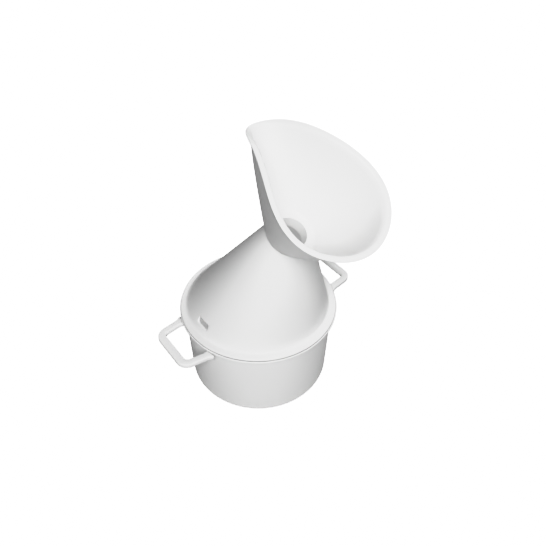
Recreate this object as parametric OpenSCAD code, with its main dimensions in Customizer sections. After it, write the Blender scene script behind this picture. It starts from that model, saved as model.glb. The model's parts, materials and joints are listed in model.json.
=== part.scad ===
// Steam inhaler: a pot with two handles, a leaning hood that stands on the
// pot's flange, and a face mask that plugs into the hood's neck.
// Millimetres. +Z is up, the pot stands on z = 0 with its axis on Z, the
// handles lie along X, and the hood leans towards -Y, where the user sits.

/* [Pot] */
// Height of the pot to the top of its flange
pot_h = 80.4; // [74:0.2:90]
// Outer radius of the flange round the pot's mouth
flange_r = 75; // [73:0.5:80]
// Thickness of the flange
flange_t = 3; // [2:0.2:4]
// Outer radius of the pot's wall under the flange
wall_top_r = 70.6; // [69.6:0.2:72]
// Outer radius of the pot's wall at the base
wall_base_r = 68.6; // [66:0.2:69]
// Radius of the rounded edge between wall and base
base_round = 3.5; // [2:0.5:6]
// Wall thickness of all three mouldings
wall = 2; // [1.6:0.1:2.4]

/* [Handles] */
// Distance from the pot's axis to the outer edge of a handle
handle_reach = 99.2; // [92:0.5:110]
// Half of the handle's length along its outer edge
handle_half = 25.5; // [22:0.5:32]
// Angle that each arm opens by towards the pot
handle_splay = 7; // [0:0.5:15]
// Width of the bar that the fingers hold
handle_bar = 7.6; // [6:0.2:8]
// Width of the two arms
handle_arm = 6.4; // [5:0.2:7]
// Thickness of the handle
handle_t = 5.2; // [3:0.2:6]
// Height of the handle's top face
handle_top = 78.4; // [78:0.2:79.4]
// Radius of the handle's outer corners
handle_corner = 11; // [8:0.5:13]

/* [Hood] */
// Outer radius of the hood's flange
hood_flange_r = 74.2; // [73:0.2:76]
// Thickness of the hood's flange
hood_flange_t = 2.6; // [2:0.2:4]
// Outer radius of the cone where it leaves the flange
cone_base_r = 68.3; // [67:0.1:69]
// How far the middle of the cone's foot is behind the pot's axis
cone_foot_back = 1.5; // [0:0.1:2]
// How far the skirt reaches down into the pot
skirt_depth = 8; // [5:0.5:12]
// Gap between the skirt and the inside of the pot
skirt_gap = 0.4; // [0.3:0.05:0.8]
// Height of the centre of the neck's end above the table
neck_z = 190.1; // [170:0.5:210]
// How far the neck's end is forward of the pot's axis
neck_forward = 44.2; // [30:0.5:50]
// Angle that the neck leans forward by
neck_tilt = 27.3; // [10:0.5:35]
// Outer radius of the neck's end
neck_r = 18.8; // [18:0.2:22]
// Length of the air slot round the cone
slot_length = 15; // [10:0.5:18]
// Height of the air slot
slot_height = 5.6; // [4.6:0.2:8]
// Height of the middle of the air slots above the table
slot_z = 92; // [90:0.5:100]

/* [Mask] */
// Radius of the bore through the mask's spigot
bore_r = 13.8; // [13:0.1:14.4]
// Outer radius of the spigot
spigot_r = 15.8; // [15.4:0.1:16.4]
// Length of the spigot
spigot_len = 11; // [8:0.5:14]
// Gap between the neck's end and the mask's seat
seat_gap = 0.3; // [0.2:0.05:0.5]
// Radial play of the spigot in the neck
spigot_play = 0.08; // [0.03:0.01:0.1]
// Half of the mask's length from chin to nose
mask_half_len = 66; // [55:1:75]
// Half of the mask's greatest width
mask_half_w = 45; // [40:1:55]
// How far the mask's middle lies above the neck's axis
mask_rise = 8.2; // [4:0.2:12]
// Height of the lip above the neck, at the cheeks
lip_h = 72.5; // [60:1:80]
// Width of the turned-out lip
lip_roll = 3.6; // [2.5:0.1:5]
// How far the mask's wall swells out between neck and lip
wall_swell = 2.9; // [0:0.1:4]

/* [Hidden] */
ROUND = 120;
pot_inner_top_r = wall_top_r - wall;
pot_inner_base_r = wall_base_r - wall;
flange_z = pot_h - flange_t;
edge = 0.7;
hood_z = pot_h + hood_flange_t;
cone_z = pot_h + 1;
neck_lip = 1.5;
skirt_r = pot_inner_top_r - skirt_gap;
ledge_r = skirt_r - wall - 3.2;
socket_r = spigot_r + spigot_play;
socket_len = spigot_len + 3;
seat_r = neck_r + 0.7;
MASK_STEPS = 72;
CONE_STEPS = 72;

// Points on an arc about centre c, from angle a0 to a1.
function arc(c, r, a0, a1, steps = 8) =
    [for (i = [0:steps]) let (a = a0 + (a1 - a0) * i / steps) c + r * [cos(a), sin(a)]];

// The neck's own frame: origin at the middle of its end, +Z along its axis.
module at_neck() {
    translate([0, -neck_forward, neck_z]) rotate([neck_tilt, 0, 0]) children();
}

module pot() {
    inner_round = base_round - 1.5;
    profile = concat(
        [[0, 0]],
        arc([wall_base_r - base_round, base_round], base_round, -90, 0),
        [[wall_top_r, flange_z]],
        arc([flange_r - edge, flange_z + edge], edge, -90, 0, 4),
        arc([flange_r - edge, pot_h - edge], edge, 0, 90, 4),
        [[pot_inner_top_r, pot_h]],
        arc([pot_inner_base_r - inner_round, wall + inner_round], inner_round, 0, -90),
        [[0, wall]]
    );
    color("whitesmoke") rotate_extrude($fn = ROUND) polygon(profile);
}

// Plan of one handle, on the +X side: a rounded loop with splayed arms.
module handle_plan() {
    root_x = wall_top_r - 6;
    spread = (handle_reach - root_x) * tan(handle_splay);
    inner_reach = handle_reach - handle_bar;
    inner_half = handle_half - handle_arm;
    difference() {
        offset(r = handle_corner, $fn = 64) offset(delta = -handle_corner)
            polygon([
                [root_x - 20, -handle_half - spread], [handle_reach, -handle_half],
                [handle_reach, handle_half], [root_x - 20, handle_half + spread]
            ]);
        offset(r = 3, $fn = 32) offset(delta = -3)
            polygon([
                [root_x - 20, -inner_half - spread], [inner_reach, -inner_half],
                [inner_reach, inner_half], [root_x - 20, inner_half + spread]
            ]);
    }
}

// A handle ends where it meets the pot's wall and the edge of its flange.
module handle() {
    color("whitesmoke") difference() {
        translate([0, 0, handle_top - handle_t]) linear_extrude(handle_t) handle_plan();
        cylinder(h = flange_z, r1 = wall_base_r, r2 = wall_top_r, $fn = ROUND);
        translate([0, 0, flange_z]) cylinder(h = flange_t, r = flange_r, $fn = ROUND);
    }
}

module handle_right() {
    handle();
}

module handle_left() {
    mirror([1, 0, 0]) handle();
}

// A point of the cone's wall: s runs from the flange to the neck's end, and
// inset moves the point in from the outer surface.
function cone_point(t, s, inset) =
    let (
        foot_r = cone_base_r - inset,
        end_r = neck_r - inset,
        foot = [foot_r * sin(t), cone_foot_back - foot_r * cos(t), cone_z],
        end = [
            end_r * sin(t),
            -neck_forward - end_r * cos(t) * cos(neck_tilt),
            neck_z - end_r * cos(t) * sin(neck_tilt)
        ]
    )
    foot * (1 - s) + end * s;

// The thin shell of the cone, open at its foot and at the neck's end.
module leaning_cone() {
    section = [[0, 0], [0.35, 0], [0.7, 0], [1, 0], [1, neck_lip], [0.7, wall], [0.35, wall], [0, wall]];
    m = len(section);
    points = [
        for (i = [0:CONE_STEPS - 1], p = section) cone_point(360 * i / CONE_STEPS, p[0], p[1])
    ];
    polyhedron(points = points, faces = loop_faces(CONE_STEPS, m), convexity = 6);
}

// Faces of a closed band: a ring of m points repeated at each of n steps.
function loop_faces(n, m) = [
    for (i = [0:n - 1], j = [0:m - 1])
        let (next = (i + 1) % n, over = (j + 1) % m)
        [i * m + j, i * m + over, next * m + over, next * m + j]
];

// The ring that rests on the pot, with the skirt below it and a ledge inside
// that carries the cone's foot.
module hood_flange() {
    round_r = hood_flange_t / 2;
    profile = concat(
        [[skirt_r - wall, pot_h - skirt_depth], [skirt_r - 0.5, pot_h - skirt_depth],
         [skirt_r, pot_h - skirt_depth + 1], [skirt_r, pot_h]],
        arc([hood_flange_r - round_r, pot_h + round_r], round_r, -90, 90),
        [[ledge_r, hood_z], [ledge_r, pot_h + 0.4], [skirt_r - wall, pot_h - 1]]
    );
    rotate_extrude($fn = ROUND) polygon(profile);
}

// The tube inside the neck that the mask's spigot turns in.
module hood_socket() {
    at_neck() translate([0, 0, -socket_len]) difference() {
        cylinder(h = socket_len - 0.3, r = neck_r - 0.6, $fn = ROUND);
        translate([0, 0, -1]) cylinder(h = socket_len + 2, r = socket_r, $fn = ROUND);
    }
}

module hood() {
    rise = (slot_z - cone_z) / (neck_z - cone_z);
    slot_y = cone_foot_back * (1 - rise) - neck_forward * rise;
    color("white") difference() {
        union() {
            hood_flange();
            leaning_cone();
            hood_socket();
        }
        for (side = [-1, 1])
            translate([side * cone_base_r, slot_y, slot_z])
                cube([20, slot_length, slot_height], center = true);
    }
}

// The lip's outline in the neck's frame: t = 0 at the chin, 180 at the nose.
function lip_y(t) = mask_rise - mask_half_len * cos(t);
function lip_x(t) =
    let (c = cos(t)) 0.92 * mask_half_w * sin(t) * (1 + 0.5 * c + 0.05 * pow(c, 2) - 0.3 * pow(c, 3));
function lip_z(t) =
    let (c = cos(t)) lip_h - 1.1 * c - 16.5 * pow(c, 2) + 10.4 * pow(c, 3) + 0.8 * pow(c, 4);

// Outward direction of the outline at t.
function lip_out(t) =
    let (v = [sin(t) / mask_half_w, -cos(t) / mask_half_len]) v / norm(v);

// A point of the mask's wall: s runs from the seat to the lip along a wall that
// swells between the two, and the point is then moved out by out and up by up.
function mask_point(t, s, out, up) =
    let (
        d = lip_out(t),
        seat = [seat_r * sin(t), -seat_r * cos(t), seat_gap],
        lip = [lip_x(t) - lip_roll * d[0], lip_y(t) - lip_roll * d[1], lip_z(t)],
        away = out + wall_swell * pow(sin(180 * s), 0.7)
    )
    seat * (1 - s) + lip * s + [away * d[0], away * d[1], up];

module mask_bowl() {
    // One section of the wall as [s, out, up]: up the outside, over the lip
    // and down the inside.
    section = [
        [0, 0, 0], [0.06, 0, 0], [0.18, 0, 0], [0.35, 0, 0], [0.55, 0, 0], [0.75, 0, 0],
        [0.88, 0, 0], [0.96, 0, 0],
        [1, 0.8, -0.8], [1, lip_roll - 0.6, -0.9], [1, lip_roll, 0], [1, lip_roll - 0.6, 0.9],
        [1, 0.4, 1], [1, -1.2, 0.3], [0.95, -wall, 0], [0.86, -wall, 0],
        [0.7, -wall, 0], [0.5, -wall, 0], [0.3, -wall, 0], [0.12, -wall, 0],
        [0, -seat_r + spigot_r - 0.5, 0]
    ];
    m = len(section);
    points = [
        for (i = [0:MASK_STEPS - 1], p = section)
            mask_point(360 * i / MASK_STEPS, p[0], p[1], p[2])
    ];
    polyhedron(points = points, faces = loop_faces(MASK_STEPS, m), convexity = 8);
}

module mask() {
    color("white") at_neck() union() {
        mask_bowl();
        translate([0, 0, -spigot_len]) difference() {
            cylinder(h = spigot_len + 2, r = spigot_r, $fn = ROUND);
            translate([0, 0, -1]) cylinder(h = spigot_len + 4, r = bore_r, $fn = ROUND);
        }
    }
}

pot();
handle_left();
handle_right();
hood();
mask();
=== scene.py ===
"""Looks of a steam inhaler: a pot with two handles, a leaning hood and a face mask.

Lengths are in millimetres in the row frame until a mesh is made, which is in metres.
Round a piece, the angle t is 0 at the front (-Y), a quarter turn at +X and a half turn
at the back.
"""

import json
import math

import bmesh
import bpy
from mathutils import Matrix, Vector


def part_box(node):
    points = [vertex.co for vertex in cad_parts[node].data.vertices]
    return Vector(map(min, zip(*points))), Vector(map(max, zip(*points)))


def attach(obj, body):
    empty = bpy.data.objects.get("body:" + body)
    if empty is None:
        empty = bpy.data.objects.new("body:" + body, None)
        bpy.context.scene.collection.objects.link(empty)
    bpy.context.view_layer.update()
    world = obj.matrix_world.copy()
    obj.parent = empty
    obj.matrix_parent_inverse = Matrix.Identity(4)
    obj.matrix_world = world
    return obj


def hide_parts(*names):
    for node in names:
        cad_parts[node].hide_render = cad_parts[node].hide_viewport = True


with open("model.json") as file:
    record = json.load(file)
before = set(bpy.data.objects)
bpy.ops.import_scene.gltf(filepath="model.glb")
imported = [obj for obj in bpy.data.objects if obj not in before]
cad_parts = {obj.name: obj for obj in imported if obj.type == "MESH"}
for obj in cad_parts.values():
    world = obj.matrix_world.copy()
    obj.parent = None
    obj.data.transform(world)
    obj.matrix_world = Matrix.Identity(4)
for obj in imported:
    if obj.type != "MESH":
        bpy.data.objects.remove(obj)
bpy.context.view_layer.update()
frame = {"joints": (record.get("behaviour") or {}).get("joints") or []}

MM = 0.001
TURN = 2 * math.pi

# ---- driving dimensions: the frame's where its boxes and joint give them ----

pot_low, pot_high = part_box("pot")
hood_low, hood_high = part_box("hood")
handle_low, handle_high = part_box("handle_right")
mask_joint = next(j for j in frame["joints"] if j["name"] == "mask_turn")

WALL = 2.0

POT_H = pot_high.z / MM
FLANGE_R = pot_high.x / MM
FLANGE_T = 3.0
FLANGE_Z = POT_H - FLANGE_T
WALL_TOP_R = FLANGE_R - 4.4
WALL_BASE_R = FLANGE_R - 6.4
BASE_ROUND = 3.5

HANDLE_REACH = handle_high.x / MM
HANDLE_TOP = handle_high.z / MM
HANDLE_T = (handle_high.z - handle_low.z) / MM
HANDLE_HALF = 25.5
HANDLE_SPLAY = math.radians(7)
HANDLE_BAR = 7.6
HANDLE_ARM = 6.4
HANDLE_CORNER = 11.0
HANDLE_INNER_CORNER = 4.0

HOOD_FLANGE_T = 2.6
HOOD_TOP = POT_H + HOOD_FLANGE_T
HOOD_R = hood_high.x / MM
SKIRT_Z = hood_low.z / MM
SKIRT_GAP = 0.4
SKIRT_R = WALL_TOP_R - WALL - SKIRT_GAP
CONE_Z = POT_H + 1
CONE_R = 68.3
CONE_BACK = 1.5
SLOT_Z = 92.0
SLOT_HALF_LENGTH = 7.5
SLOT_HALF_HEIGHT = 2.9
SLOT_ROUND = 1.7
SLOT_ROWS = 6
SLOT_COLUMNS = 10
SLOT_PATCH_HALF = 4.6
VALLEY_DEPTH = 0.3
VALLEY_ROUND = 2.2
PARTING_RIDGE = 0.09

NECK = Vector(mask_joint["pos_m"]) / MM
NECK_AXIS = Vector(mask_joint["axis"]).normalized()
NECK_TILT = math.atan2(-NECK_AXIS.y, NECK_AXIS.z)
NECK_R = 18.8
SOCKET_R = 15.9
SOCKET_LEN = 14.0
SOCKET_S = 0.86

BORE_R = 13.8
SPIGOT_R = 15.8
SPIGOT_LEN = 11.0
SEAT_R = NECK_R + 0.7
SEAT_GAP = 0.3
MASK_HALF_LEN = 66.0
MASK_HALF_W = 45.0
MASK_RISE = 8.2
LIP_H = 72.5
LIP_ROLL = 3.6
WALL_SWELL = 2.9

ROUND_STEPS = 192


# ---- profiles ----

def arc(centre, radius, start, end, steps=6):
    """Points (r, z) on an arc, angles in degrees from +r towards +z."""
    points = []
    for i in range(steps + 1):
        a = math.radians(start + (end - start) * i / steps)
        points.append((centre[0] + radius * math.cos(a), centre[1] + radius * math.sin(a)))
    return points


def with_supports(profile, near=0.3, longest=6.0):
    """The profile with a point close to both ends of each long stretch, so that shading
    turns only at the rounded edges."""
    result = [profile[0]]
    for a, b in zip(profile, profile[1:]):
        length = math.dist(a, b)
        stops = []
        if length > 4 * near:
            count = max(1, math.ceil((length - 2 * near) / longest))
            stops = [near + (length - 2 * near) * k / count for k in range(count + 1)]
        for stop in stops:
            f = stop / length
            result.append((a[0] + (b[0] - a[0]) * f, a[1] + (b[1] - a[1]) * f))
        result.append(b)
    return result


def around(r, t, z):
    """The point at radius r, angle t and height z about the pot's axis."""
    return Vector((r * math.sin(t), -r * math.cos(t), z))


def at_neck(r, t, z):
    """The point at radius r, angle t and height z about the neck's axis."""
    return NECK + Matrix.Rotation(NECK_TILT, 3, "X") @ around(r, t, z)


def even_turns(steps):
    return [TURN * i / steps for i in range(steps)]


# ---- meshes ----

def band_faces(n, m, skip=()):
    """Faces of a closed band: a ring of m points repeated at each of n steps."""
    faces = []
    for i in range(n):
        for j in range(m):
            if (i, j) not in skip:
                k, l = (i + 1) % n, (j + 1) % m
                faces.append((i * m + j, k * m + j, k * m + l, i * m + l))
    return faces


def sheet_faces(n, m):
    """Faces of a band whose section isn't closed."""
    return band_faces(n, m, skip={(i, m - 1) for i in range(n)})


def piece(name, points, faces, material, body, nodes):
    """A smooth mesh piece in metres that rides on a body and stands for CAD nodes."""
    bm = bmesh.new()
    verts = [bm.verts.new(p * MM) for p in points]
    for face in faces:
        bm.faces.new([verts[k] for k in face])
    bmesh.ops.remove_doubles(bm, verts=bm.verts, dist=1e-7)
    bmesh.ops.dissolve_degenerate(bm, edges=bm.edges, dist=1e-7)
    bmesh.ops.recalc_face_normals(bm, faces=bm.faces)
    mesh = bpy.data.meshes.new(name)
    bm.to_mesh(mesh)
    bm.free()
    for polygon in mesh.polygons:
        polygon.use_smooth = True
    mesh.materials.append(material)
    obj = bpy.data.objects.new(name, mesh)
    bpy.context.scene.collection.objects.link(obj)
    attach(obj, body)
    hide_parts(*nodes)
    return obj


# ---- material ----

def linked(nodes, links, kind, inputs, settings=None):
    """A new node of that kind, whose inputs are joined to sockets or set to values."""
    node = nodes.new(kind)
    for key, value in (settings or {}).items():
        setattr(node, key, value)
    for key, value in inputs.items():
        if isinstance(value, bpy.types.NodeSocket):
            links.new(value, node.inputs[key])
        else:
            node.inputs[key].default_value = value
    return node


def polypropylene(name, colour, shade, roughness):
    """White moulded polypropylene: faint clouding, shade painted into the colour of creases and
    seams, an uneven sheen, and a fine skin."""
    material = bpy.data.materials.new(name)
    material.use_nodes = True
    nodes = material.node_tree.nodes
    links = material.node_tree.links
    shader = nodes["Principled BSDF"]
    shader.inputs["IOR"].default_value = 1.49
    shader.inputs["Specular IOR Level"].default_value = 0.3
    place = nodes.new("ShaderNodeTexCoord").outputs["Object"]

    def add(kind, inputs, **settings):
        return linked(nodes, links, kind, inputs, settings)

    def noise(scale, detail):
        inputs = {"Scale": scale, "Detail": detail, "Vector": place}
        return add("ShaderNodeTexNoise", inputs).outputs["Fac"]

    clouds = add("ShaderNodeMixRGB", {
        "Fac": noise(14, 3), "Color1": (*colour, 1), "Color2": (*shade, 1),
    })
    # Painted shade: ambient occlusion finds creases, seams and recesses, where shade falls, and
    # darkens the colour there.
    painted_shade_ao = add("ShaderNodeAmbientOcclusion", {"Distance": 0.0025}, samples=8)
    depth = add("ShaderNodeMapRange", {
        "Value": painted_shade_ao.outputs["AO"],
        "From Min": 0.35, "From Max": 0.85, "To Min": 0.45, "To Max": 1.0,
    })
    # The painted shade is multiplied into the base colour.
    colour_with_painted_shade = add("ShaderNodeMixRGB", {
        "Fac": 1, "Color1": clouds.outputs["Color"], "Color2": depth.outputs["Result"],
    }, blend_type="MULTIPLY")
    links.new(colour_with_painted_shade.outputs["Color"], shader.inputs["Base Color"])

    sheen = add("ShaderNodeMapRange", {
        "Value": noise(45, 4),
        "From Min": 0.3, "From Max": 0.7, "To Min": roughness - 0.05, "To Max": roughness + 0.06,
    })
    links.new(sheen.outputs["Result"], shader.inputs["Roughness"])

    skin = add("ShaderNodeBump", {
        "Strength": 0.12, "Distance": 0.00005, "Height": noise(1400, 2),
    })
    links.new(skin.outputs["Normal"], shader.inputs["Normal"])
    return material


# ---- pot ----

def pot_profile():
    """Closed outline of the pot's wall: underside, outside, flange, inside."""
    recess = 0.9
    mouth_r = WALL_TOP_R - WALL
    inner_base_r = WALL_BASE_R - WALL
    inner_round = 4.0
    floor_z = WALL + 0.4
    under_fillet = 1.2
    edge = 0.7
    gate_r = 3.0
    return with_supports(
        [(0.0, recess - 0.5), (gate_r, recess - 0.5)]
        + arc((gate_r + 0.5, recess - 0.1), 0.4, 180, 90, 3)[1:]
        + [(WALL_BASE_R - 9, recess)]
        + arc((WALL_BASE_R - 7.6, 0.5), 0.5, 150, 270, 4)
        + arc((WALL_BASE_R - BASE_ROUND, BASE_ROUND), BASE_ROUND, -90, 0, 10)
        + arc((WALL_TOP_R + under_fillet, FLANGE_Z - under_fillet), under_fillet, 180, 90, 5)
        + arc((FLANGE_R - edge, FLANGE_Z + edge), edge, -90, 0, 5)
        + arc((FLANGE_R - edge, POT_H - edge), edge, 0, 90, 5)
        + arc((mouth_r + 1, POT_H - 1), 1.0, 90, 180, 5)
        + arc((inner_base_r - inner_round, floor_z + inner_round), inner_round, 0, -90, 8)
        + [(0.0, floor_z)]
    )


def build_pot(material):
    profile = pot_profile()
    turns = even_turns(ROUND_STEPS)
    points = [around(r, t, z) for t in turns for r, z in profile]
    faces = sheet_faces(len(turns), len(profile))
    return piece("pot_body", points, faces, material, "pot", ["pot"])


def handle_outline(reach, half, corner, root):
    """One edge of the loop in plan, from the rear arm's root round to the front arm's."""
    spread = math.tan(HANDLE_SPLAY)
    cx = reach - corner
    cy = half + corner * math.tan(HANDLE_SPLAY / 2) - corner
    start = math.pi / 2 - HANDLE_SPLAY
    tangent = (cx + corner * math.cos(start), cy + corner * math.sin(start))
    side = [(root + (tangent[0] - root) * k / 12,
             tangent[1] + (tangent[0] - root) * (1 - k / 12) * spread) for k in range(12)]
    for k in range(13):
        a = start * (1 - k / 12)
        side.append((cx + corner * math.cos(a), cy + corner * math.sin(a)))
    bar = [(reach, side[-1][1] * (1 - k / 4)) for k in (1, 2, 3, 4)]
    half_loop = side + bar
    return half_loop + [(x, -y) for x, y in reversed(half_loop[:-1])]


def build_handle(name, side, node, material):
    """A loop of rounded bar whose arms widen where they grow out of the pot."""
    root = WALL_TOP_R - 1.0
    outer = handle_outline(HANDLE_REACH, HANDLE_HALF, HANDLE_CORNER, root)
    inner = handle_outline(
        HANDLE_REACH - HANDLE_BAR, HANDLE_HALF - HANDLE_ARM, HANDLE_INNER_CORNER, root
    )
    flare_length = 5.0
    flare_width = 1.8
    section_steps = 20
    edge_power = 0.42
    points = []
    for outside, inside in zip(map(Vector, outer), map(Vector, inner)):
        middle = (outside + inside) / 2
        half = (outside - inside) / 2
        from_flange = max(0.0, middle.length - FLANGE_R)
        flare = flare_width * max(0.0, 1 - from_flange / flare_length) ** 2
        half *= 1 + flare / half.length
        for k in range(section_steps):
            a = TURN * k / section_steps
            across = math.copysign(abs(math.cos(a)) ** edge_power, math.cos(a))
            up = math.copysign(abs(math.sin(a)) ** edge_power, math.sin(a))
            spot = middle + half * across
            height = HANDLE_TOP - HANDLE_T / 2 + HANDLE_T / 2 * up
            points.append(Vector((side * spot.x, spot.y, height)))
    stations = len(outer)
    faces = [f for f in band_faces(stations, section_steps) if max(f) - min(f) < 2 * section_steps]
    faces.append(tuple(range(section_steps)))
    faces.append(tuple((stations - 1) * section_steps + k for k in range(section_steps)))
    return piece(name, points, faces, material, "pot", [node])


# ---- hood ----

def cone_point(t, s, inset):
    """A point of the leaning cone, s from its foot (0) to the neck's end (1)."""
    foot = around(CONE_R - inset, t, CONE_Z) + Vector((0, CONE_BACK, 0))
    return foot.lerp(at_neck(NECK_R - inset, t, 0), s)


def cone_at(side, y, z, inset):
    """The point of the cone's wall at y and z, on the +X or -X side."""
    s = (z - CONE_Z) / (NECK.z - CONE_Z)
    t = math.pi / 2
    for _ in range(6):
        spread = (CONE_R - inset) * (1 - s) + (NECK_R - inset) * math.cos(NECK_TILT) * s
        t = math.acos(-(y - CONE_BACK * (1 - s) - NECK.y * s) / spread)
        s += (z - cone_point(t, s, inset).z) / (NECK.z - CONE_Z)
    return cone_point(t if side > 0 else TURN - t, s, inset)


def slot_outline(long_steps, short_steps, grow):
    """Rounded oblong (across, up), from the corner at low t and low s, one side at a
    time, with the middle of each corner's arc at the corner of the patch."""
    a, b, r = SLOT_HALF_LENGTH + grow, SLOT_HALF_HEIGHT + grow, SLOT_ROUND + grow
    corners = [(-a + r, -b + r, 225), (a - r, -b + r, 315),
               (a - r, b - r, 45), (-a + r, b - r, 135)]
    points = []
    for k, steps in enumerate((long_steps, short_steps, long_steps, short_steps)):
        x0, y0, a0 = corners[k]
        x1, y1, a1 = corners[(k + 1) % 4]
        leave = [(x0 + r * math.cos(math.radians(a0 + d)), y0 + r * math.sin(math.radians(a0 + d)))
                 for d in (0, 22.5, 45)]
        arrive = [(x1 + r * math.cos(math.radians(a1 - d)), y1 + r * math.sin(math.radians(a1 - d)))
                  for d in (45, 22.5)]
        straight = [(leave[-1][0] + (arrive[0][0] - leave[-1][0]) * n / (steps - 4),
                     leave[-1][1] + (arrive[0][1] - leave[-1][1]) * n / (steps - 4))
                    for n in range(1, steps - 4)]
        points += leave + straight + arrive
    return points


def hood_turns():
    """Angles round the hood, with close ones at the mould's parting lines."""
    close = [math.radians(d) for d in (-0.7, -0.3, 0.3, 0.7)]
    extra = [line + d for line in (0.0, math.pi) for d in close]
    return sorted(set(t % TURN for t in even_turns(ROUND_STEPS) + extra))


def hood_section(t):
    """Closed section of the hood at t, and where its slot rows start outside and inside:
    flange, valley, outside of the cone, rim and socket of the neck, inside."""
    roll = HOOD_FLANGE_T / 2
    flange = with_supports(
        [(SKIRT_R - WALL, POT_H - 0.6)]
        + arc((SKIRT_R - WALL + 0.5, SKIRT_Z + 0.5), 0.5, 180, 270, 3)
        + arc((SKIRT_R - 0.5, SKIRT_Z + 0.5), 0.5, 270, 360, 3)
        + arc((SKIRT_R + 0.5, POT_H - 0.5), 0.5, 180, 90, 3)
        + arc((HOOD_R - roll, POT_H + roll), roll, -90, 90, 12)
    )
    points = [around(r, t, z) for r, z in flange]
    rise = at_neck(NECK_R, t, 0).z - CONE_Z
    bend = cone_point(t, (HOOD_TOP - VALLEY_DEPTH - CONE_Z) / rise, 0)
    end = cone_point(t, (HOOD_TOP + VALLEY_ROUND - CONE_Z) / rise, 0)
    start = bend.lerp(points[-1], VALLEY_ROUND / (points[-1] - bend).length)
    points.append(points[-1].lerp(start, 0.5))
    points.append(start)
    for k in range(1, 9):
        f = k / 8
        points.append(start.lerp(bend, f).lerp(bend.lerp(end, f), f))
    low, high = SLOT_Z - SLOT_PATCH_HALF, SLOT_Z + SLOT_PATCH_HALF
    on_parting_line = abs(math.sin(t)) < 0.002
    ridge = PARTING_RIDGE if on_parting_line else 0.0
    outward = around(ridge, t, 0)
    outside_rows = len(points)
    for k in range(SLOT_ROWS + 1):
        z = low + (high - low) * k / SLOT_ROWS
        points.append(cone_point(t, (z - CONE_Z) / rise, 0) + outward)
    last = (high - CONE_Z) / rise
    for k in range(1, 17):
        points.append(cone_point(t, last + (0.992 - last) * k / 16, 0) + outward)
    rim = arc((NECK_R - 0.45, -0.5), 0.5, 15, 90, 4) + arc((SOCKET_R + 0.5, -0.5), 0.5, 90, 180, 4)
    socket = [(SOCKET_R, -4), (SOCKET_R, -9), (SOCKET_R, -SOCKET_LEN),
              (SOCKET_R + 0.7, -SOCKET_LEN - 0.7)]
    points += [at_neck(r, t, z) for r, z in rim + socket]
    for k in range(9):
        points.append(cone_point(t, SOCKET_S + (last - SOCKET_S) * k / 8, WALL))
    inside_rows = len(points) - 1
    for k in range(1, SLOT_ROWS + 1):
        z = high + (low - high) * k / SLOT_ROWS
        points.append(cone_point(t, (z - CONE_Z) / rise, WALL))
    points.append(cone_point(t, 0.02, WALL))
    return points, outside_rows, inside_rows


def slot_edge(side, grow, inset, depth):
    """One ring of the slot's edge: its outline grown on the wall's face at inset, and
    moved depth along X, which is how the mould's core draws."""
    s = (SLOT_Z - CONE_Z) / (NECK.z - CONE_Z)
    middle_y = CONE_BACK * (1 - s) + NECK.y * s
    ring = []
    for across, up in slot_outline(SLOT_COLUMNS, SLOT_ROWS, grow):
        point = cone_at(side, middle_y + across, SLOT_Z + up, inset)
        ring.append(point - Vector((side * depth, 0, 0)))
    return ring


def slot_mirrored(ring):
    """The same ring with its points matched to a patch whose columns run the other way."""
    n = len(ring)
    return [ring[(SLOT_COLUMNS - k) % n] for k in range(n)]


def patch_border(turn_index, row, m, step):
    """Vertex numbers round the patch left open for a slot, in slot_outline's order."""
    cols = [turn_index + k for k in range(-SLOT_COLUMNS // 2, SLOT_COLUMNS // 2 + 1)]
    rows = [row + step * k for k in range(SLOT_ROWS + 1)]
    border = [(c, rows[0]) for c in cols[:-1]] + [(cols[-1], r) for r in rows[:-1]]
    border += [(c, rows[-1]) for c in cols[:0:-1]] + [(cols[0], r) for r in rows[:0:-1]]
    return [c * m + r for c, r in border]


def build_hood(material):
    turns = hood_turns()
    sections = [hood_section(t) for t in turns]
    outside_row, inside_row = sections[0][1], sections[0][2]
    m = len(sections[0][0])
    points = [p for section in sections for p in section[0]]
    skip = set()
    slots = []
    for side, t_slot in ((1, math.pi / 2), (-1, 1.5 * math.pi)):
        at = min(range(len(turns)), key=lambda i: abs(turns[i] - t_slot))
        slots.append((side, at))
        for i in range(at - SLOT_COLUMNS // 2, at + SLOT_COLUMNS // 2):
            skip |= {(i, outside_row + j) for j in range(SLOT_ROWS)}
            skip |= {(i, inside_row + j) for j in range(SLOT_ROWS)}
    faces = band_faces(len(turns), m, skip)
    edge = 0.4
    for side, at in slots:
        rings = [patch_border(at, outside_row, m, 1)]
        for grow, inset, depth in ((edge, 0, 0), (0.1, 0, 0.1), (0, 0, edge),
                                   (0, WALL, -edge), (0.1, WALL, -0.1), (edge, WALL, 0)):
            ring = slot_edge(side, grow, inset, depth)
            if side < 0:
                # On this side t runs from +Y to -Y, so the outline is walked the other way.
                ring = slot_mirrored(ring)
            rings.append(list(range(len(points), len(points) + len(ring))))
            points += ring
        rings.append(patch_border(at, inside_row + SLOT_ROWS, m, -1))
        for a, b in zip(rings, rings[1:]):
            for k in range(len(a)):
                l = (k + 1) % len(a)
                faces.append((a[k], a[l], b[l], b[k]))
    return piece("hood_shell", points, faces, material, "hood", ["hood"])


# ---- mask ----

def lip_outward(t):
    """Unit vector out of the lip's outline, in plan."""
    v = Vector((math.sin(t) / MASK_HALF_W, -math.cos(t) / MASK_HALF_LEN, 0))
    return v.normalized()


def lip_middle(t):
    """The line that the lip follows, in the neck's frame."""
    c = math.cos(t)
    return Vector((
        0.92 * MASK_HALF_W * math.sin(t) * (1 + 0.5 * c + 0.05 * c ** 2 - 0.3 * c ** 3),
        MASK_RISE - MASK_HALF_LEN * c,
        LIP_H - 1.1 * c - 16.5 * c ** 2 + 10.4 * c ** 3 + 0.8 * c ** 4,
    ))


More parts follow.
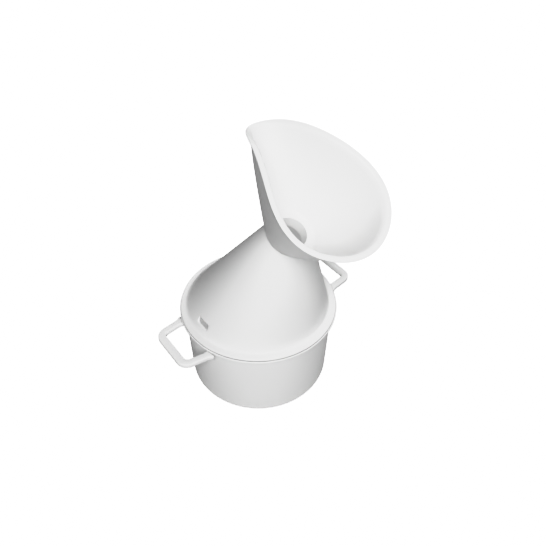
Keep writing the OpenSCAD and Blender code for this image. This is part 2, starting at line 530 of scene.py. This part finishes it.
def mask_point(t, s, out, up):
    """A point of the bowl's swelling wall, s from the seat (0) to the lip (1), moved out
    and up."""
    radial = around(1, t, 0)
    outward = radial.lerp(lip_outward(t), s).normalized()
    seat = around(SEAT_R, t, SEAT_GAP)
    lip = lip_middle(t) - LIP_ROLL * lip_outward(t)
    swell = WALL_SWELL * max(0.0, math.sin(math.pi * s)) ** 0.7
    return seat.lerp(lip, s) + outward * (out + swell) + Vector((0, 0, up))


def mask_section(t):
    """Closed section of the mask at t: spigot, seat, outside, lip, inside."""
    half = 0.9  # half of the lip's thickness
    tip = LIP_ROLL - half
    spigot = with_supports(
        [(BORE_R, 1.2)]
        + arc((BORE_R + 0.4, -SPIGOT_LEN + 0.4), 0.4, 180, 270, 3)
        + arc((SPIGOT_R - 0.4, -SPIGOT_LEN + 0.4), 0.4, 270, 360, 3)
        + arc((SPIGOT_R + 0.15, SEAT_GAP - 0.15), 0.15, 180, 90, 3)
        + [(SEAT_R - 0.4, SEAT_GAP)]
    )
    points = [around(r, t, z) for r, z in spigot]
    points += [mask_point(t, 0, -0.12, 0.12), mask_point(t, 0.006, 0, 0)]
    outer_rows = [0.02] + [k / 22 for k in range(1, 21)] + [0.94, 0.965, 0.985]
    points += [mask_point(t, s, 0, 0) for s in outer_rows]
    points += [mask_point(t, 1, out, up) for out, up in ((0.6, -half - 0.2), (1.2, -half))]
    for k in range(9):
        a = math.radians(-90 + 180 * k / 8)
        points.append(mask_point(t, 1, tip + half * math.cos(a), half * math.sin(a)))
    inner_curve = ((1.8, half), (0.9, half - 0.02), (0.1, half - 0.14),
                   (-0.6, half - 0.5), (-1.1, half - 1.1))
    points += [mask_point(t, 1, out, up) for out, up in inner_curve]
    inner_rows = [0.965, 0.94] + [k / 22 for k in range(20, 1, -1)] + [0.06, 0.045]
    points += [mask_point(t, s, -WALL, 0) for s in inner_rows]
    points += [around(r, t, z) for r, z in ((BORE_R + 2.6, 2.4), (BORE_R + 1.2, 2.0))]
    points += [around(r, t, z) for r, z in arc((BORE_R + 0.3, 1.6), 0.3, 90, 180, 3)]
    tilt = Matrix.Rotation(NECK_TILT, 3, "X")
    return [NECK + tilt @ p for p in points]


def build_mask(material):
    turns = even_turns(ROUND_STEPS)
    sections = [mask_section(t) for t in turns]
    points = [p for section in sections for p in section]
    faces = band_faces(len(turns), len(sections[0]))
    return piece("mask_bowl", points, faces, material, "mask", ["mask"])


# ---- studio ----

def show_white(nodes, links, kind, shader, output, white, share):
    """Adds white to what the eye sees of a backdrop, and none to the light it gives."""
    glow = linked(nodes, links, kind, {"Color": (1, 1, 1, 1), "Strength": white})
    ray = nodes.new("ShaderNodeLightPath")
    part = linked(nodes, links, "ShaderNodeMath",
                  {0: ray.outputs["Is Camera Ray"], 1: share}, {"operation": "MULTIPLY"})
    mix = linked(nodes, links, "ShaderNodeMixShader",
                 {"Fac": part.outputs["Value"], 1: shader, 2: glow.outputs[0]})
    links.new(mix.outputs["Shader"], output.inputs["Surface"])


def build_floor():
    half_size = 6
    white, share = 4.5, 0.82
    bm = bmesh.new()
    bmesh.ops.create_grid(bm, x_segments=4, y_segments=4, size=half_size)
    mesh = bpy.data.meshes.new("floor")
    bm.to_mesh(mesh)
    bm.free()
    material = bpy.data.materials.new("floor_paper")
    material.use_nodes = True
    nodes = material.node_tree.nodes
    links = material.node_tree.links
    paper = nodes["Principled BSDF"]
    paper.inputs["Roughness"].default_value = 0.9
    paper.inputs["Specular IOR Level"].default_value = 0.1
    place = nodes.new("ShaderNodeTexCoord").outputs["Object"]
    grain = linked(nodes, links, "ShaderNodeTexNoise", {"Scale": 3, "Vector": place})
    tone = linked(nodes, links, "ShaderNodeMixRGB", {
        "Fac": grain.outputs["Fac"],
        "Color1": (0.34, 0.34, 0.34, 1), "Color2": (0.31, 0.31, 0.31, 1),
    })
    links.new(tone.outputs["Color"], paper.inputs["Base Color"])
    show_white(nodes, links, "ShaderNodeEmission", paper.outputs["BSDF"],
               nodes["Material Output"], white, share)
    mesh.materials.append(material)
    obj = bpy.data.objects.new("floor", mesh)
    bpy.context.scene.collection.objects.link(obj)


def direction(azimuth, elevation):
    """Unit vector from the object to a viewer at that azimuth and elevation."""
    a, e = math.radians(azimuth), math.radians(elevation)
    return Vector((math.sin(a) * math.cos(e), -math.cos(a) * math.cos(e), math.sin(e)))


def add_soft_light(name, azimuth, elevation, power):
    """A round soft box aimed at the middle of the object."""
    distance = 1.3
    middle = Vector((0, -0.02, 0.13))
    light = bpy.data.lights.new(name, "AREA")
    light.shape = "DISK"
    light.size = 0.6
    light.energy = power
    obj = bpy.data.objects.new(name, light)
    towards = direction(azimuth, elevation)
    obj.location = middle + towards * distance
    obj.rotation_mode = "QUATERNION"
    obj.rotation_quaternion = (-towards).to_track_quat("-Z", "Y")
    bpy.context.scene.collection.objects.link(obj)


def add_inner_light(power):
    """Stands for the light that comes through the thin white walls into the pot."""
    light = bpy.data.lights.new("through_walls", "POINT")
    light.shadow_soft_size = 0.03
    light.energy = power
    obj = bpy.data.objects.new("through_walls", light)
    obj.location = (0, -0.01, 0.055)
    obj.visible_camera = False
    bpy.context.scene.collection.objects.link(obj)


def build_world(strength):
    """A dim even surround that shows white behind the floor."""
    world = bpy.data.worlds.new("studio")
    world.use_nodes = True
    background = world.node_tree.nodes["Background"]
    background.inputs["Color"].default_value = (1, 1, 1, 1)
    background.inputs["Strength"].default_value = strength
    white, share = 4.0, 1.0
    show_white(world.node_tree.nodes, world.node_tree.links, "ShaderNodeBackground",
               background.outputs["Background"], world.node_tree.nodes["World Output"],
               white, share)
    bpy.context.scene.world = world


def build_camera():
    data = bpy.data.cameras.new("camera")
    data.sensor_width = 36
    data.lens = 37.05
    data.clip_start = 0.01
    place = (-0.22062, -0.31214, 0.46301)
    camera = bpy.data.objects.new("camera", data)
    azimuth, elevation, roll = (math.radians(d) for d in (-37.33, 42.18, 0.33))
    aim = Matrix.Rotation(azimuth, 4, "Z") @ Matrix.Rotation(math.pi / 2 - elevation, 4, "X")
    camera.matrix_world = Matrix.Translation(place) @ aim @ Matrix.Rotation(roll, 4, "Z")
    bpy.context.scene.collection.objects.link(camera)
    bpy.context.scene.camera = camera


def build_tones():
    """Plain tones, with the brightest ones of the plastic held just below the white of
    the backdrop."""
    view = bpy.context.scene.view_settings
    view.view_transform = "Standard"
    view.use_curve_mapping = True
    mapping = view.curve_mapping
    brightest = 4  # the light level that the curve's end stands for
    mapping.white_level = (brightest, brightest, brightest)
    curve = mapping.curves[3]
    curve.points[0].location = (0, 0)
    curve.points[1].location = (1, 1)
    tones = ((0.35, 0.35), (0.7, 0.7), (0.9, 0.815), (1.2, 0.86), (1.6, 0.885), (3.0, 1.0))
    for light, shown in tones:
        curve.points.new(light / brightest, shown)
    for point in curve.points:
        point.handle_type = "VECTOR"
    mapping.update()


# ---- scene ----

build_tones()
build_camera()
build_floor()
build_world(0.035)
add_soft_light("key", -37, 42, 18.5)
add_soft_light("side", 83, 42, 4.0)
add_soft_light("back", 125, 35, 3)
add_inner_light(0.04)

pot_white = polypropylene("pot_polypropylene", (0.86, 0.86, 0.855), (0.84, 0.84, 0.84), 0.38)
hood_white = polypropylene("hood_polypropylene", (0.87, 0.87, 0.865), (0.85, 0.85, 0.85), 0.36)
mask_white = polypropylene("mask_polypropylene", (0.88, 0.88, 0.875), (0.86, 0.86, 0.86), 0.36)

build_pot(pot_white)
build_handle("handle_loop_right", 1, "handle_right", pot_white)
build_handle("handle_loop_left", -1, "handle_left", pot_white)
build_hood(hood_white)
build_mask(mask_white)
